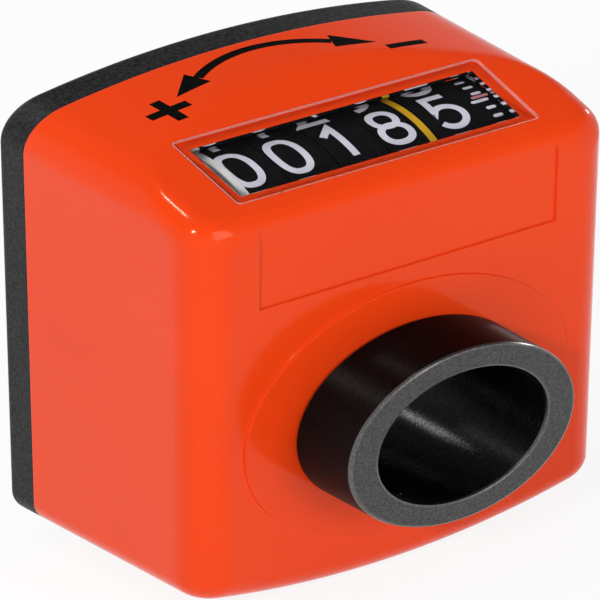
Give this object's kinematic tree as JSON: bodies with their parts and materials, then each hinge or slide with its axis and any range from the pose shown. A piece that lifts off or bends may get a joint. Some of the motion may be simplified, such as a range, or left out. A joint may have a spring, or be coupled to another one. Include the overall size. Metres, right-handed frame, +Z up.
{
  "type": "mechanical position indicator",
  "caption": "Hollow-shaft position indicator: arched housing with sloping window, number wheels geared to a clamping shaft collar, plug-in rear cover and torque pin.",
  "frame": {"origin": "on the shaft axis, in the rear mounting face", "axes": "+Y along the shaft towards the machine, +Z up to the arched top, +X to the right seen from the collar"},
  "size_m": [0.048, 0.046, 0.0669],
  "materials": {
    "orange_plastic": "glossy moulded orange",
    "black_plastic": "finely eroded black",
    "clear_plastic": "clear polished",
    "blackened_steel": "turned and burnished black",
    "bright_steel": "ground",
    "white_plastic": "satin",
    "wheel_plastic": "satin black with printed digits",
    "gear_plastic": "natural satin"
  },
  "bodies": {
    "base": {"housing": "orange_plastic", "rear_cover": "black_plastic", "window": "clear_plastic", "torque_pin": "bright_steel", "counter_frame": "white_plastic", "number_axle": "bright_steel", "pinion_axle": "bright_steel"},
    "shaft": {"hollow_shaft": "blackened_steel", "grub_screw": "blackened_steel", "retaining_ring": "bright_steel", "drive_gear": "gear_plastic"},
    "cross": {"cross_shaft": "bright_steel", "helical_pinion": "gear_plastic", "transfer_gear": "gear_plastic"},
    "units": {"units_wheel": "wheel_plastic"},
    "tens": {"tens_wheel": "wheel_plastic"},
    "hundreds": {"hundreds_wheel": "wheel_plastic"},
    "thousands": {"thousands_wheel": "wheel_plastic"},
    "ten_thousands": {"ten_thousands_wheel": "wheel_plastic"},
    "carry_1": {"carry_pinion_1": "gear_plastic"},
    "carry_2": {"carry_pinion_2": "gear_plastic"},
    "carry_3": {"carry_pinion_3": "gear_plastic"},
    "carry_4": {"carry_pinion_4": "gear_plastic"}
  },
  "joints": [
    {"name": "shaft_spin", "type": "hinge", "parent": "base", "child": "shaft", "pos_m": [0, -0.0145, 0], "axis": [0, -1, 0], "continuous": true},
    {"name": "cross_spin", "type": "hinge", "parent": "base", "child": "cross", "pos_m": [0, -0.00706, 0.01655], "axis": [1, 0, 0], "continuous": true},
    {"name": "units_spin", "type": "hinge", "parent": "base", "child": "units", "pos_m": [0, -0.01725, 0.0261], "axis": [1, 0, 0], "continuous": true},
    {"name": "tens_spin", "type": "hinge", "parent": "base", "child": "tens", "pos_m": [0, -0.01725, 0.0261], "axis": [1, 0, 0], "continuous": true},
    {"name": "hundreds_spin", "type": "hinge", "parent": "base", "child": "hundreds", "pos_m": [0, -0.01725, 0.0261], "axis": [1, 0, 0], "continuous": true},
    {"name": "thousands_spin", "type": "hinge", "parent": "base", "child": "thousands", "pos_m": [0, -0.01725, 0.0261], "axis": [1, 0, 0], "continuous": true},
    {"name": "ten_thousands_spin", "type": "hinge", "parent": "base", "child": "ten_thousands", "pos_m": [0, -0.01725, 0.0261], "axis": [1, 0, 0], "continuous": true},
    {"name": "carry_1_spin", "type": "hinge", "parent": "base", "child": "carry_1", "pos_m": [0, -0.02347, 0.01691], "axis": [1, 0, 0], "continuous": true},
    {"name": "carry_2_spin", "type": "hinge", "parent": "base", "child": "carry_2", "pos_m": [0, -0.02347, 0.01691], "axis": [1, 0, 0], "continuous": true},
    {"name": "carry_3_spin", "type": "hinge", "parent": "base", "child": "carry_3", "pos_m": [0, -0.02347, 0.01691], "axis": [1, 0, 0], "continuous": true},
    {"name": "carry_4_spin", "type": "hinge", "parent": "base", "child": "carry_4", "pos_m": [0, -0.02347, 0.01691], "axis": [1, 0, 0], "continuous": true}
  ],
  "couplings": [
    {"joint": "cross_spin", "follows": "shaft_spin", "ratio": -4.5},
    {"joint": "units_spin", "follows": "shaft_spin", "ratio": 2},
    {"joint": "tens_spin", "follows": "shaft_spin", "ratio": 0.2},
    {"joint": "hundreds_spin", "follows": "shaft_spin", "ratio": 0.02},
    {"joint": "thousands_spin", "follows": "shaft_spin", "ratio": 0.002},
    {"joint": "ten_thousands_spin", "follows": "shaft_spin", "ratio": 0.0002},
    {"joint": "carry_1_spin", "follows": "shaft_spin", "ratio": -0.5},
    {"joint": "carry_2_spin", "follows": "shaft_spin", "ratio": -0.05},
    {"joint": "carry_3_spin", "follows": "shaft_spin", "ratio": -0.005},
    {"joint": "carry_4_spin", "follows": "shaft_spin", "ratio": -0.0005}
  ]
}
